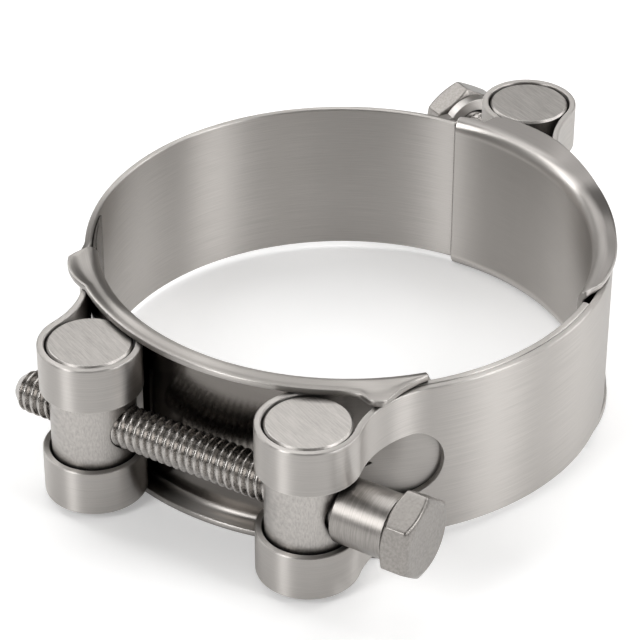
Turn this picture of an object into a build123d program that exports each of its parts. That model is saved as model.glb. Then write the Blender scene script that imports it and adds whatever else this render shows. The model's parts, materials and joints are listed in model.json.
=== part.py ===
"""Two-bolt band clamp for a 73 to 75 mm hose: two half bands on trunnion barrels, drawn together by screws."""

import os
from math import acos, atan2, cos, degrees, radians, sin, sqrt, tan

from build123d import *

# Ring axis is +Z. The front closure faces -Y and its screw lies along X with the head at +X.
strap_w = 25.0
strap_t = 1.0
rim_cut = 0.45
rear_rim_cut = 0.8
rim_run_out = 4.0
rear_rim_run_out = 12.0
layer_gap = 0.05
slide_gap = 0.35

# Bridges: thin channels inside the ring, their edges turned outward over the strap.
bore_r = 36.5
bridge_t = 1.0
flange_gap = 0.15
fold_r = 1.2
rear_fold_r = 1.6
fold_sides = 3
flange_mid_z = strap_w / 2 + flange_gap + bridge_t / 2
blank_reach = 9.0
front_bridge_r = bore_r + bridge_t / 2
front_reach = 3.3
tongue_half_h = 12.1
tongue_az0 = 200.5
tongue_az1 = 319.5
front_trim_az0 = 216.6
front_trim_az1 = 318.4

# Strap layers, at the middle of the sheet.
left_in_r = bore_r + bridge_t + layer_gap + strap_t / 2
left_out_r = left_in_r + strap_t + layer_gap
right_in_r = bore_r + bridge_t + slide_gap + strap_t / 2
right_out_r = right_in_r + strap_t + layer_gap
rear_bridge_r = bore_r + bridge_t / 2
rear_in_r = rear_bridge_r + bridge_t / 2 + layer_gap + strap_t / 2
rear_out_r = rear_in_r + strap_t + layer_gap

# Barrels, and the loops folded round them.
barrel_r = 6.15
barrel_inset = 0.1
barrel_h = strap_w - 2 * barrel_inset
barrel_edge = 0.3
loop_clear = 0.3
loop_mid_r = barrel_r + loop_clear + strap_t / 2
front_bend_r = 15.0
rear_bend_r = 20.0
slot_half_h = 5.3
slot_round_az = 46.3
slot_stop_az = 80.0
slot_clear = 0.03
slot_far = 70.0
slot_cut = 20.0
rear_slot_lift = 4.9
rear_slot_r = rear_out_r + rear_slot_lift
rear_slot_az0 = 58.0
rear_slot_az1 = 112.0

# Screw line of the front closure, and where the barrels sit on it.
left_lift = 0.15
right_lift = 1.0
screw_sink = 3.15
left_c_r = left_in_r + loop_mid_r + left_lift
right_c_r = right_in_r + loop_mid_r + right_lift
screw_y = screw_sink - left_c_r
left_cx = -sqrt(left_c_r**2 - screw_y**2)
right_cx = sqrt(right_c_r**2 - screw_y**2)
left_az = degrees(atan2(screw_y, left_cx)) + 360
left_leg_az = left_az - degrees(acos((left_in_r + loop_mid_r) / left_c_r))
right_az = degrees(atan2(screw_y, right_cx))
right_leg_az = right_az + degrees(acos((right_in_r + loop_mid_r) / right_c_r))

# Rear hinge barrel, and the direction its screw points in.
rear_lift = 4.7
rear_c_r = rear_in_r + loop_mid_r + rear_lift
rear_az = 85.0
rear_leg_az = rear_az - degrees(acos((rear_in_r + loop_mid_r) / rear_c_r))
rear_screw_az = -27.0

# Screws: quarter inch, 20 threads to the inch, hexagon heads.
thread_d = 6.35
thread_clear = 0.075
plain_hole_d = 7.4
hex_af = 11.1
head_h = 4.4
head_cone = 30.0
head_face_d = 10.4
point_len = 1.6
point_d = 3.6

sleeve_d = 9.4
sleeve_bore_d = 6.9
sleeve_len = 8.4
sleeve_edge = 0.3
seat_dist = 5.8
seat_d = 10.2
seat_gap = 0.1
head_gap = 0.05
sleeve_x0 = right_cx + seat_dist + seat_gap
head_x0 = sleeve_x0 + sleeve_len + head_gap
front_tip = 12.43
front_tip_x = left_cx - front_tip

# Lug welded outside the left band: its web carries the rear screw, and its foot follows the strap.
lug_t = 1.6
lug_near = 15.0
lug_round = 5.4
lug_arm_half_h = 3.4
lug_foot_half_h = 6.6
lug_bite = 2.8
lug_foot_lead = 1.3
lug_foot_run = 15.1
foot_in = left_in_r + strap_t / 2 + layer_gap
foot_out = foot_in + lug_t
lug_line = lug_near + lug_t / 2 - rear_c_r * cos(radians(rear_az - rear_screw_az))
lug_meet = sqrt(((foot_in + foot_out) / 2) ** 2 - lug_line**2)
lug_meet_az = rear_screw_az + 180 - degrees(atan2(lug_meet, lug_line))
lug_drop = rear_c_r * sin(radians(rear_az - rear_screw_az)) - lug_meet + lug_bite
lug_base_az = lug_meet_az - lug_foot_lead
lug_foot_az = lug_meet_az + lug_foot_run
lug_hole_d = 7.0
rear_head = lug_near + lug_t + head_gap
rear_screw_end = 7.4
rear_head_turn = 30.0

# Where the layers end round the ring, in degrees from +X.
seam_az = 93.6
bridge_seam_az = 93.05
left_return_end = 210.5
left_joggle0 = 208.0
left_joggle1 = 201.0
right_return_end = 5.0
rear_bridge_end = 6.5
rear_return_end = 27.0
right_joggle0 = 25.0
right_joggle1 = -6.0


def polar(r, az):
    """Point of the ring plane at radius r and azimuth az."""
    return (r * cos(radians(az)), r * sin(radians(az)))


def about(c, r, az):
    """Point at radius r and azimuth az round the centre c."""
    return (c[0] + r * cos(radians(az)), c[1] + r * sin(radians(az)))


def ring_plane(az):
    """Upright plane through the ring axis at azimuth az, with radius along its x."""
    out = (cos(radians(az)), sin(radians(az)), 0)
    return Plane(origin=(0, 0, 0), x_dir=out, z_dir=(out[1], -out[0], 0))


def screw_plane(c, az, along=0.0):
    """Plane across a screw at distance along it from c, looking in direction az."""
    way = (cos(radians(az)), sin(radians(az)), 0)
    spot = (c[0] + along * way[0], c[1] + along * way[1], 0)
    return Plane(origin=spot, x_dir=(-way[1], way[0], 0), z_dir=way)


def angle(a, b):
    """Azimuth of b seen from a."""
    return degrees(atan2(b[1] - a[1], b[0] - a[0]))


def hollow_bend(ring_r, centre_r, centre_az, radius, side):
    """Centre and azimuth of the hollow bend that leads from the ring to a loop."""
    far = ring_r + radius
    near = loop_mid_r + radius
    turn = degrees(acos((centre_r**2 + far**2 - near**2) / (2 * centre_r * far)))
    az = centre_az + side * turn
    return polar(far, az), az


def strap_arc(c, r, az0, az1):
    """Section of the strap bent round c, its middle at radius r."""
    mid = (az0 + az1) / 2
    inner, outer = r - strap_t / 2, r + strap_t / 2
    with BuildLine() as edge:
        ThreePointArc(about(c, inner, az0), about(c, inner, mid), about(c, inner, az1))
        Line(about(c, inner, az1), about(c, outer, az1))
        ThreePointArc(about(c, outer, az1), about(c, outer, mid), about(c, outer, az0))
        Line(about(c, outer, az0), about(c, inner, az0))
    make_face(edge.edges())


def joint_point(p0, t0, p1, t1):
    """Point where two arcs meet that leave p0 along t0 and arrive at p1 along t1."""
    v = (p1[0] - p0[0], p1[1] - p0[1])
    both = (t0[0] + t1[0], t0[1] + t1[1])
    spread = 2 * (1 - t0[0] * t1[0] - t0[1] * t1[1])
    lead = v[0] * both[0] + v[1] * both[1]
    d = (sqrt(lead**2 + spread * (v[0] ** 2 + v[1] ** 2)) - lead) / spread
    return tuple((p0[i] + p1[i] + d * (t0[i] - t1[i])) / 2 for i in (0, 1))


def strap_joggle(r0, az0, r1, az1):
    """Section of the strap that steps from radius r0 at az0 to r1 at az1 in two tangent arcs."""
    way = 1 if az1 > az0 else -1
    t0 = (-way * sin(radians(az0)), way * cos(radians(az0)))
    t1 = (-way * sin(radians(az1)), way * cos(radians(az1)))
    half = strap_t / 2
    with BuildLine() as edge:
        for side in (-half, half):
            p0, p1 = polar(r0 + side, az0), polar(r1 + side, az1)
            middle = joint_point(p0, t0, p1, t1)
            TangentArc(p0, middle, tangent=t0)
            TangentArc(p1, middle, tangent=(-t1[0], -t1[1]))
        Line(polar(r0 - half, az0), polar(r0 + half, az0))
        Line(polar(r1 - half, az1), polar(r1 + half, az1))
    make_face(edge.edges())


def straight_leg(ring_r, az, loop_c):
    """Section of the strap's straight run from the ring at az to the loop round loop_c."""
    half = strap_t / 2
    with BuildLine() as edge:
        Polyline(
            polar(ring_r - half, az),
            polar(ring_r + half, az),
            about(loop_c, loop_mid_r - half, az + 180),
            about(loop_c, loop_mid_r + half, az + 180),
            close=True,
        )
    make_face(edge.edges())


def slot_area(r, az0, az1):
    """Area outside radius r between two azimuths, where a slot opens the strap."""
    with BuildLine() as edge:
        ThreePointArc(polar(r, az0), polar(r, (az0 + az1) / 2), polar(r, az1))
        Line(polar(r, az1), polar(slot_far, az1))
        Line(polar(slot_far, az1), polar(slot_far, az0))
        Line(polar(slot_far, az0), polar(r, az0))
    make_face(edge.edges())


def bevel_rims(r, az0, az1, cut=rim_cut):
    """Bevel the bore-side edges of the strap whose inner face is at radius r, to clear the bridge's folds."""
    with BuildSketch(ring_plane(az0)) as corner:
        for side in (1, -1):
            with BuildLine():
                Polyline(
                    (r - cut, side * (strap_w / 2 + cut)),
                    (r - cut, side * (strap_w / 2 - 2 * cut)),
                    (r + 2 * cut, side * (strap_w / 2 + cut)),
                    close=True,
                )
            make_face()
    revolve(corner.sketch, axis=Axis.Z, revolution_arc=az1 - az0, mode=Mode.SUBTRACT)


def outline(mid_r, *points):
    """Arcs through each three points that follow one another, given as reach beyond mid_r and azimuth."""
    spots = [polar(mid_r + reach, az) for reach, az in points]
    for first, middle, last in zip(spots[:-2:2], spots[1:-1:2], spots[2::2]):
        ThreePointArc(first, middle, last)


def channel_section(mid_r, fold):
    """Section of a bridge: floor at mid_r, both edges folded outward in a few flats of mean radius fold."""
    corner_r = mid_r + fold
    floor_half_h = flange_mid_z - fold
    steps = [180 - 90 * k / fold_sides for k in range(fold_sides + 1)]
    with Locations((mid_r, 0)):
        Rectangle(bridge_t, 2 * floor_half_h)
    for side in (1, -1):
        c = (corner_r, side * floor_half_h)
        inner = [about(c, fold - bridge_t / 2, side * az) for az in steps]
        outer = [about(c, fold + bridge_t / 2, side * az) for az in steps]
        with BuildLine() as edge:
            Polyline(*inner, *reversed(outer), close=True)
        make_face(edge.edges())
        with Locations((corner_r + blank_reach / 2, side * flange_mid_z)):
            Rectangle(blank_reach, bridge_t)


def barrel_blank():
    """Plain barrel with broken edges."""
    Cylinder(barrel_r, barrel_h)
    chamfer(faces().filter_by(Axis.Z).edges(), length=barrel_edge)


def screw(seat, reach, turn=0.0):
    """Hexagon-head screw: seat is the plane under its head, looking out of the head."""
    with BuildSketch(seat) as hexagon:
        RegularPolygon(hex_af / 2, 6, major_radius=False, rotation=turn)
    extrude(hexagon.sketch, amount=head_h)
    axis = Axis(seat.origin, seat.z_dir)
    lengthwise = Plane(origin=seat.origin, x_dir=seat.z_dir, z_dir=(0, 0, 1))
    corner = hex_af / sqrt(3) + 1
    rise = (corner - head_face_d / 2) * tan(radians(head_cone))
    with BuildSketch(lengthwise) as section:
        with BuildLine():
            Polyline(
                (0, 0),
                (0, head_face_d / 2),
                (rise, corner),
                (head_h - rise, corner),
                (head_h, head_face_d / 2),
                (head_h, 0),
                close=True,
            )
        make_face()
    revolve(section.sketch, axis=axis, mode=Mode.INTERSECT)
    with BuildSketch(lengthwise) as section:
        with BuildLine():
            Polyline(
                (-reach, 0),
                (-reach, point_d / 2),
                (point_len - reach, thread_d / 2),
                (0, thread_d / 2),
                (0, 0),
                close=True,
            )
        make_face()
    revolve(section.sketch, axis=axis)


left_c = (left_cx, screw_y)
right_c = (right_cx, screw_y)
rear_c = polar(rear_c_r, rear_az)
ring_c = (0, 0)
left_bend_c, left_bend_az = hollow_bend(left_out_r, left_c_r, left_az, front_bend_r, -1)
right_bend_c, right_bend_az = hollow_bend(right_out_r, right_c_r, right_az, front_bend_r, 1)
rear_bend_c, rear_bend_az = hollow_bend(rear_out_r, rear_c_r, rear_az, rear_bend_r, -1)

# Left half band: single layer from the seam, joggle, hollow bend, loop, return leg.
with BuildPart() as left_band:
    with BuildSketch():
        strap_arc(ring_c, left_in_r, seam_az, left_joggle1)
        strap_joggle(left_in_r, left_joggle1, left_out_r, left_joggle0)
        strap_arc(ring_c, left_out_r, left_joggle0, left_bend_az)
        strap_arc(left_bend_c, front_bend_r, left_bend_az - 180, angle(left_bend_c, left_c))
        strap_arc(left_c, loop_mid_r, angle(left_c, left_bend_c) % 360, left_leg_az + 180)
        straight_leg(left_in_r, left_leg_az, left_c)
        strap_arc(ring_c, left_in_r, left_return_end, left_leg_az)
    extrude(amount=strap_w / 2, both=True)
    bevel_rims(left_in_r - strap_t / 2, seam_az, left_joggle1)
    bevel_rims(left_in_r - strap_t / 2, left_return_end, left_leg_az + rim_run_out)
    with BuildSketch(Plane.XY.offset(-slot_half_h)):
        slot_area(left_in_r + strap_t / 2 + slot_clear, 180 + slot_round_az, 180 + slot_stop_az)
    extrude(amount=2 * slot_half_h, mode=Mode.SUBTRACT)
    with BuildSketch(screw_plane(ring_c, 180 + slot_round_az, left_in_r + strap_t / 2 + slot_clear)):
        Circle(slot_half_h)
    extrude(amount=slot_cut, mode=Mode.SUBTRACT)
left_band.part.label = "left_band"

# Right half band: return leg, front loop, hollow bend, outer layer, rear hollow bend, rear loop, rear leg.
with BuildPart() as right_band:
    with BuildSketch():
        strap_arc(ring_c, right_in_r, right_leg_az, right_return_end)
        straight_leg(right_in_r, right_leg_az, right_c)
        strap_arc(right_c, loop_mid_r, angle(right_c, right_bend_c), right_leg_az - 180)
        strap_arc(right_bend_c, front_bend_r, right_bend_az + 180, angle(right_bend_c, right_c) % 360)
        strap_arc(ring_c, right_out_r, right_bend_az, right_joggle1)
        strap_joggle(right_out_r, right_joggle1, rear_out_r, right_joggle0)
        strap_arc(ring_c, rear_out_r, right_joggle0, rear_bend_az)
        strap_arc(rear_bend_c, rear_bend_r, rear_bend_az + 180, angle(rear_bend_c, rear_c) % 360)
        strap_arc(rear_c, loop_mid_r, angle(rear_c, rear_bend_c), rear_leg_az + 180)
        straight_leg(rear_in_r, rear_leg_az, rear_c)
        strap_arc(ring_c, rear_in_r, rear_return_end, rear_leg_az)
    extrude(amount=strap_w / 2, both=True)
    bevel_rims(right_in_r - strap_t / 2, right_leg_az - rim_run_out, right_return_end)
    bevel_rims(rear_in_r - strap_t / 2, rear_return_end, rear_leg_az + rear_rim_run_out, rear_rim_cut)
    with BuildSketch(Plane.XY.offset(-slot_half_h)):
        slot_area(right_in_r + strap_t / 2 + slot_clear, -slot_round_az, -slot_stop_az)
        slot_area(rear_slot_r, rear_slot_az0, rear_slot_az1)
    extrude(amount=2 * slot_half_h, mode=Mode.SUBTRACT)
    with BuildSketch(screw_plane(ring_c, -slot_round_az, right_in_r + strap_t / 2 + slot_clear)):
        Circle(slot_half_h)
    extrude(amount=slot_cut, mode=Mode.SUBTRACT)
right_band.part.label = "right_band"

# Front bridge: channel trimmed in plan to a lobe on the left and a fish-tail on the right, on a longer floor.
with BuildPart() as front_bridge:
    with BuildSketch(ring_plane(front_trim_az0 - 1)):
        channel_section(front_bridge_r, fold_r)
    revolve(axis=Axis.Z, revolution_arc=front_trim_az1 - front_trim_az0 + 2)
    with BuildSketch(Plane.XY.offset(-strap_w)):
        with BuildLine():
            Line(ring_c, polar(front_bridge_r + 1.0, front_trim_az0))
            outline(front_bridge_r, (1.0, front_trim_az0), (2.9, 218.8), (4.3, 221.6), (4.5, 225.2), (front_reach, 233))
            outline(front_bridge_r, (front_reach, 233), (front_reach, 266), (front_reach, 299.5))
            outline(front_bridge_r, (front_reach, 299.5), (4.8, 303.6), (6.4, 306.0), (6.9, 307.6), (6.2, 309.4))
            outline(front_bridge_r, (6.2, 309.4), (3.1, 313.6), (1.5, front_trim_az1))
            Line(polar(front_bridge_r + 1.5, front_trim_az1), ring_c)
        make_face()
    extrude(amount=2 * strap_w, mode=Mode.INTERSECT)
    for az0, az1 in ((tongue_az0, front_trim_az0), (front_trim_az1, tongue_az1)):
        with BuildSketch(ring_plane(az0)) as tongue:
            with Locations((front_bridge_r, 0)):
                Rectangle(bridge_t, 2 * tongue_half_h)
        revolve(tongue.sketch, axis=Axis.Z, revolution_arc=az1 - az0)
front_bridge.part.label = "front_bridge"

# Rear bridge: the same channel, narrow at the seam, wide behind the hinge barrel, fading out at the right.
with BuildPart() as rear_bridge:
    with BuildSketch(ring_plane(rear_bridge_end)):
        channel_section(rear_bridge_r, rear_fold_r)
    revolve(axis=Axis.Z, revolution_arc=bridge_seam_az - rear_bridge_end)
    with BuildSketch(Plane.XY.offset(-strap_w)):
        with BuildLine():
            Line(ring_c, polar(rear_bridge_r + 1.2, bridge_seam_az))
            outline(rear_bridge_r, (1.2, bridge_seam_az), (1.6, 90.3), (1.7, 86.8), (3.0, 86.4), (4.2, 85.9))
            outline(rear_bridge_r, (4.2, 85.9), (4.9, 83.6), (5.2, 79.0), (5.3, 73.5), (5.1, 68.0))
            outline(rear_bridge_r, (5.1, 68.0), (4.2, 59.1), (3.5, 50.6), (3.2, 40.3), (3.0, 28.8))
            outline(rear_bridge_r, (3.0, 28.8), (2.9, 19.0), (2.3, 11.0), (1.6, 8.6), (0.8, rear_bridge_end))
            Line(polar(rear_bridge_r + 0.8, rear_bridge_end), ring_c)
        make_face()
    extrude(amount=2 * strap_w, mode=Mode.INTERSECT)
rear_bridge.part.label = "rear_bridge"

# Threaded barrel of the front closure.
with BuildPart() as nut_barrel:
    with Locations((*left_c, 0)):
        barrel_blank()
    with BuildSketch(Plane.YZ.offset(left_cx - barrel_r)):
        with Locations((screw_y, 0)):
            Circle(thread_d / 2 + thread_clear)
    extrude(amount=2 * barrel_r, mode=Mode.SUBTRACT)
nut_barrel.part.label = "nut_barrel"

# Plain barrel: clear hole, and a milled seat for the sleeve.
with BuildPart() as plain_barrel:
    with Locations((*right_c, 0)):
        barrel_blank()
    with BuildSketch(Plane.YZ.offset(right_cx - barrel_r)):
        with Locations((screw_y, 0)):
            Circle(plain_hole_d / 2)
    extrude(amount=2 * barrel_r, mode=Mode.SUBTRACT)
    with BuildSketch(Plane.YZ.offset(right_cx + seat_dist)):
        with Locations((screw_y, 0)):
            Circle(seat_d / 2)
    extrude(amount=barrel_r, mode=Mode.SUBTRACT)
plain_barrel.part.label = "plain_barrel"

# Threaded barrel of the rear hinge.
with BuildPart() as rear_barrel:
    with Locations((*rear_c, 0)):
        barrel_blank()
    with BuildSketch(screw_plane(rear_c, rear_screw_az, -barrel_r)):
        Circle(thread_d / 2 + thread_clear)
    extrude(amount=2 * barrel_r, mode=Mode.SUBTRACT)
rear_barrel.part.label = "rear_barrel"

# Sleeve between the plain barrel and the screw head.
with BuildPart() as sleeve:
    with BuildSketch(Plane.YZ.offset(sleeve_x0)):
        with Locations((screw_y, 0)):
            Circle(sleeve_d / 2)
            Circle(sleeve_bore_d / 2, mode=Mode.SUBTRACT)
    extrude(amount=sleeve_len)
    rims = sleeve.edges().filter_by(GeomType.CIRCLE).filter_by(lambda rim: rim.radius > sleeve_bore_d / 2)
    chamfer(rims, length=sleeve_edge)
sleeve.part.label = "sleeve"

# Front screw.
with BuildPart() as front_bolt:
    screw(screw_plane((head_x0, screw_y), 0), head_x0 - front_tip_x)
front_bolt.part.label = "front_bolt"

# Rear screw: its head bears on the lug, left of the hinge barrel.
with BuildPart() as rear_bolt:
    screw(screw_plane(rear_c, rear_screw_az + 180, rear_head), rear_head + rear_screw_end, rear_head_turn)
rear_bolt.part.label = "rear_bolt"

# Lug: foot along the left band, round-ended web square to the rear screw.
with BuildPart() as rear_lug:
    with BuildSketch(screw_plane(rear_c, rear_screw_az, -lug_near - lug_t)):
        Circle(lug_round)
        with Locations((-lug_drop / 2, 0)):
            Rectangle(lug_drop, 2 * lug_arm_half_h)
    extrude(amount=lug_t)
    Cylinder(foot_in, strap_w, mode=Mode.SUBTRACT)
    with BuildSketch():
        lug_mid_az = (lug_base_az + lug_foot_az) / 2
        with BuildLine():
            ThreePointArc(polar(foot_in, lug_base_az), polar(foot_in, lug_mid_az), polar(foot_in, lug_foot_az))
            Line(polar(foot_in, lug_foot_az), polar(foot_out, lug_foot_az))
            ThreePointArc(polar(foot_out, lug_foot_az), polar(foot_out, lug_mid_az), polar(foot_out, lug_base_az))
            Line(polar(foot_out, lug_base_az), polar(foot_in, lug_base_az))
        make_face()
    extrude(amount=lug_foot_half_h, both=True)
    with BuildSketch(screw_plane(rear_c, rear_screw_az, -lug_near - lug_t)):
        Circle(lug_hole_d / 2)
    extrude(amount=lug_t, mode=Mode.SUBTRACT)
rear_lug.part.label = "rear_lug"

os.makedirs("parts", exist_ok=True)
export_step(left_band.part, "parts/left_band.step")
export_step(right_band.part, "parts/right_band.step")
export_step(front_bridge.part, "parts/front_bridge.step")
export_step(rear_bridge.part, "parts/rear_bridge.step")
export_step(nut_barrel.part, "parts/nut_barrel.step")
export_step(plain_barrel.part, "parts/plain_barrel.step")
export_step(rear_barrel.part, "parts/rear_barrel.step")
export_step(sleeve.part, "parts/sleeve.step")
export_step(front_bolt.part, "parts/front_bolt.step")
export_step(rear_bolt.part, "parts/rear_bolt.step")
export_step(rear_lug.part, "parts/rear_lug.step")
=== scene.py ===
# %% [markdown]
# # Heavy-duty band clamp for a hose
# Two half bands of stainless strip are drawn together by a long screw at the front and a short one at the
# rear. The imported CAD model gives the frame: every piece has its real place and size there, in metres.
# This script adds the looks: brushed and turned finishes, folded strip with soft edges, rolled screw
# threads, the light and the camera.

# %% Load the frame
import json
import math

import bmesh
import bpy
from mathutils import Matrix, Vector


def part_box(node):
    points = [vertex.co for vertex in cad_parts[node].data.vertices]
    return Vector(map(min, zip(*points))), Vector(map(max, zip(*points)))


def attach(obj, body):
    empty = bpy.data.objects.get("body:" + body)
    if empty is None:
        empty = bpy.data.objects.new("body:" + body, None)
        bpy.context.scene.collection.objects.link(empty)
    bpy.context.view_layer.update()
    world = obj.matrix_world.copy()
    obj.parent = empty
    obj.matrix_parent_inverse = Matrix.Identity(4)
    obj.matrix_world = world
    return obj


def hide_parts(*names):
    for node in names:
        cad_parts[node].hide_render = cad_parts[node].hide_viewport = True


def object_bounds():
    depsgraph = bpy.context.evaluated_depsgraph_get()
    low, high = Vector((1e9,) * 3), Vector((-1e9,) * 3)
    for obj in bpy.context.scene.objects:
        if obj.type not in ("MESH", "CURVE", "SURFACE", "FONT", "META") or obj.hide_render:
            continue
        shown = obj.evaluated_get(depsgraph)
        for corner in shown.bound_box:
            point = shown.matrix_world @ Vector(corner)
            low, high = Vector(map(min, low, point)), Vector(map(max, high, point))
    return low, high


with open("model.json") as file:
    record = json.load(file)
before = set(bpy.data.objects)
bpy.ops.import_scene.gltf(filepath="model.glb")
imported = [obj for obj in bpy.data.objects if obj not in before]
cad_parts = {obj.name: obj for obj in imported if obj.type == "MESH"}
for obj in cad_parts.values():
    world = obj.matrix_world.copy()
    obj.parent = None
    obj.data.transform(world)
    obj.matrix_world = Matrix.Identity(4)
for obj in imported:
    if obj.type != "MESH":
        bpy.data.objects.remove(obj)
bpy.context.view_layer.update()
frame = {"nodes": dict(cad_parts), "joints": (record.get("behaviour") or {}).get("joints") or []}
scene = bpy.context.scene
mm = 0.001

# %% [markdown]
# ## The camera
# A picture of a small product is taken with a long lens, so that its near and far sides differ little in
# size. Here the camera stands 0.43 m away and looks down at 34 degrees from the front right. The lens is
# written as a focal length in pixels of a square picture, which is what a fit of the ring's ellipses
# gives, and turned into the millimetres that Blender asks for.

# %% Place the camera
camera_azimuth, camera_elevation, camera_roll = 31.43, 34.38, 0.15
camera_distance = 430 * mm
camera_target = Vector((-3.13, -2.06, -2.30)) * mm
focal_px, picture_px = 2850, 640
sensor_mm = 36

az, el = math.radians(camera_azimuth), math.radians(camera_elevation)
toward_camera = Vector((math.sin(az) * math.cos(el), -math.cos(az) * math.cos(el), math.sin(el)))
camera_data = bpy.data.cameras.new("camera")
camera_data.sensor_width = sensor_mm
camera_data.lens = focal_px / picture_px * sensor_mm
camera_data.clip_start = 10 * mm
camera = bpy.data.objects.new("camera", camera_data)
camera.location = camera_target + camera_distance * toward_camera
aim = (-toward_camera).to_track_quat("-Z", "Y")
roll = Matrix.Rotation(math.radians(camera_roll), 4, "Z")
camera.rotation_euler = (aim.to_matrix().to_4x4() @ roll).to_euler()
scene.collection.objects.link(camera)
scene.camera = camera
scene.view_settings.view_transform = "Standard"
print("camera at, mm:", [round(v / mm, 1) for v in camera.location])

# %% [markdown]
# ## Small helpers for materials
# Colours are written as sRGB hex and turned into linear values by one function. `add` puts a node in a
# tree with its settings and its links in one line. Every metal starts from the same plain shader, which is
# fully metallic and keeps Blender's own IOR.

# %% Define the material helpers
def colour(hex_code):
    """sRGB hex to linear RGBA."""
    parts = [int(hex_code[i:i + 2], 16) / 255 for i in (1, 3, 5)]
    return tuple(c / 12.92 if c <= 0.04045 else ((c + 0.055) / 1.055) ** 2.4 for c in parts) + (1,)


def add(tree, kind, settings=None, **links):
    """Adds a node. Links are sockets or values for its inputs, by name or as i and the input's number."""
    node = tree.nodes.new(kind)
    for key, value in (settings or {}).items():
        setattr(node, key, value)
    for key, value in links.items():
        socket = node.inputs[int(key[1:])] if key[1:].isdigit() else node.inputs[key.replace("_", " ")]
        if isinstance(value, bpy.types.NodeSocket):
            tree.links.new(value, socket)
        else:
            socket.default_value = value
    return node


def new_metal(name, base, roughness):
    """A metal with nothing but its colour and roughness, and its tree to add detail to."""
    material = bpy.data.materials.new(name)
    material.use_nodes = True
    tree = material.node_tree
    shader = tree.nodes["Principled BSDF"]
    shader.inputs["Metallic"].default_value = 1
    shader.inputs["Base Color"].default_value = colour(base)
    shader.inputs["Roughness"].default_value = roughness
    return material, tree, shader


print("mid grey in linear light:", [round(c, 3) for c in colour("#808080")])

# %% [markdown]
# ## Rubbed, highlighted edges and painted shade in crevices
# No edge of a real clamp is sharp. Tumbling rounds it and handling rubs it bright. Here the edges are made
# paler still, as a painted highlight of the thin bright line each edge catches, and the narrow gaps are
# darkened as painted shade. Both could be painted by hand. Here the Bevel node finds the edges, because its
# normal leaves the face's own normal there, and the Ambient Occlusion node finds the gaps, so every piece
# gets them by itself.

# %% Define the worn surface with painted highlight and painted shade
# edges: partly rubbed bright, partly a painted highlight
rubbed_highlight_hex = "#F2EFEB"
rubbed_highlight_from, rubbed_highlight_full, rubbed_highlight_share = 0.995, 0.90, 0.6
# gaps: painted shade, darkest where ambient occlusion finds them most closed
painted_shade_closed, painted_shade_open, painted_shade_darkest = 0.15, 0.75, 0.30
painted_shade_gap = 2.0 * mm


def wear_with_painted_light(tree, shade, edge, gap):
    """Colour made paler along the rounded edges, partly rubbing and partly painted highlight, and darker in
    crevices narrower than gap as painted shade.
    """
    flat = add(tree, "ShaderNodeNewGeometry").outputs["Normal"]
    across = add(tree, "ShaderNodeVectorMath", {"operation": "DOT_PRODUCT"}, i0=edge.outputs[0], i1=flat)
    # painted highlight and rubbing: the colour is mixed toward near white along the edges
    rubbed_highlight = add(tree, "ShaderNodeMapRange", i0=across.outputs["Value"], i1=rubbed_highlight_from, i2=rubbed_highlight_full,
                 i3=0.0, i4=rubbed_highlight_share)
    pale = add(tree, "ShaderNodeMix", {"data_type": "VECTOR"}, i0=rubbed_highlight.outputs[0], i4=shade,
               i5=colour(rubbed_highlight_hex)[:3])
    # painted shade: ambient occlusion darkens the colour in narrow gaps
    hollow = add(tree, "ShaderNodeAmbientOcclusion", {"samples": 6}, Distance=gap)
    dim = add(tree, "ShaderNodeMapRange", i0=hollow.outputs["AO"], i1=painted_shade_closed, i2=painted_shade_open,
              i3=painted_shade_darkest, i4=1.0)
    return add(tree, "ShaderNodeVectorMath", {"operation": "SCALE"}, i0=pale.outputs[1], Scale=dim.outputs[0])


def dress(tree, shader, shade, relief, depth, strength, edge_r, gap=painted_shade_gap):
    """Gives a shader its worn colour with painted highlight and painted shade, its rounded edges and the
    shallow relief of its lines or grain.
    """
    edge = add(tree, "ShaderNodeBevel", {"samples": 4}, Radius=edge_r)
    worn = wear_with_painted_light(tree, shade, edge, gap)
    tree.links.new(worn.outputs[0], shader.inputs["Base Color"])
    bump = add(tree, "ShaderNodeBump", Strength=strength, Distance=depth, Height=relief,
               Normal=edge.outputs[0])
    tree.links.new(bump.outputs[0], shader.inputs["Normal"])


print("rubbed edges take", rubbed_highlight_share, "of", rubbed_highlight_hex, "and the deepest crevices keep", painted_shade_darkest)

# %% [markdown]
# ## Stainless steel strip, brushed lengthwise
# The bands are cut from strip that was brushed in the mill, so fine lines run along it, round the ring.
# They could come from a picture, but a stretched noise needs none and has no seams. Its coordinates are
# the arc round the Z axis, the radius and the height, each divided by a line's size that way. A real line
# is about 0.02 mm wide, too fine to show, so it is drawn 0.125 mm wide.

# %% Draw the brushed lines
brush_r = 38 * mm
line_width, line_length = 0.125 * mm, 9.09 * mm
noise_low, noise_high = 0.3, 0.7


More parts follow.
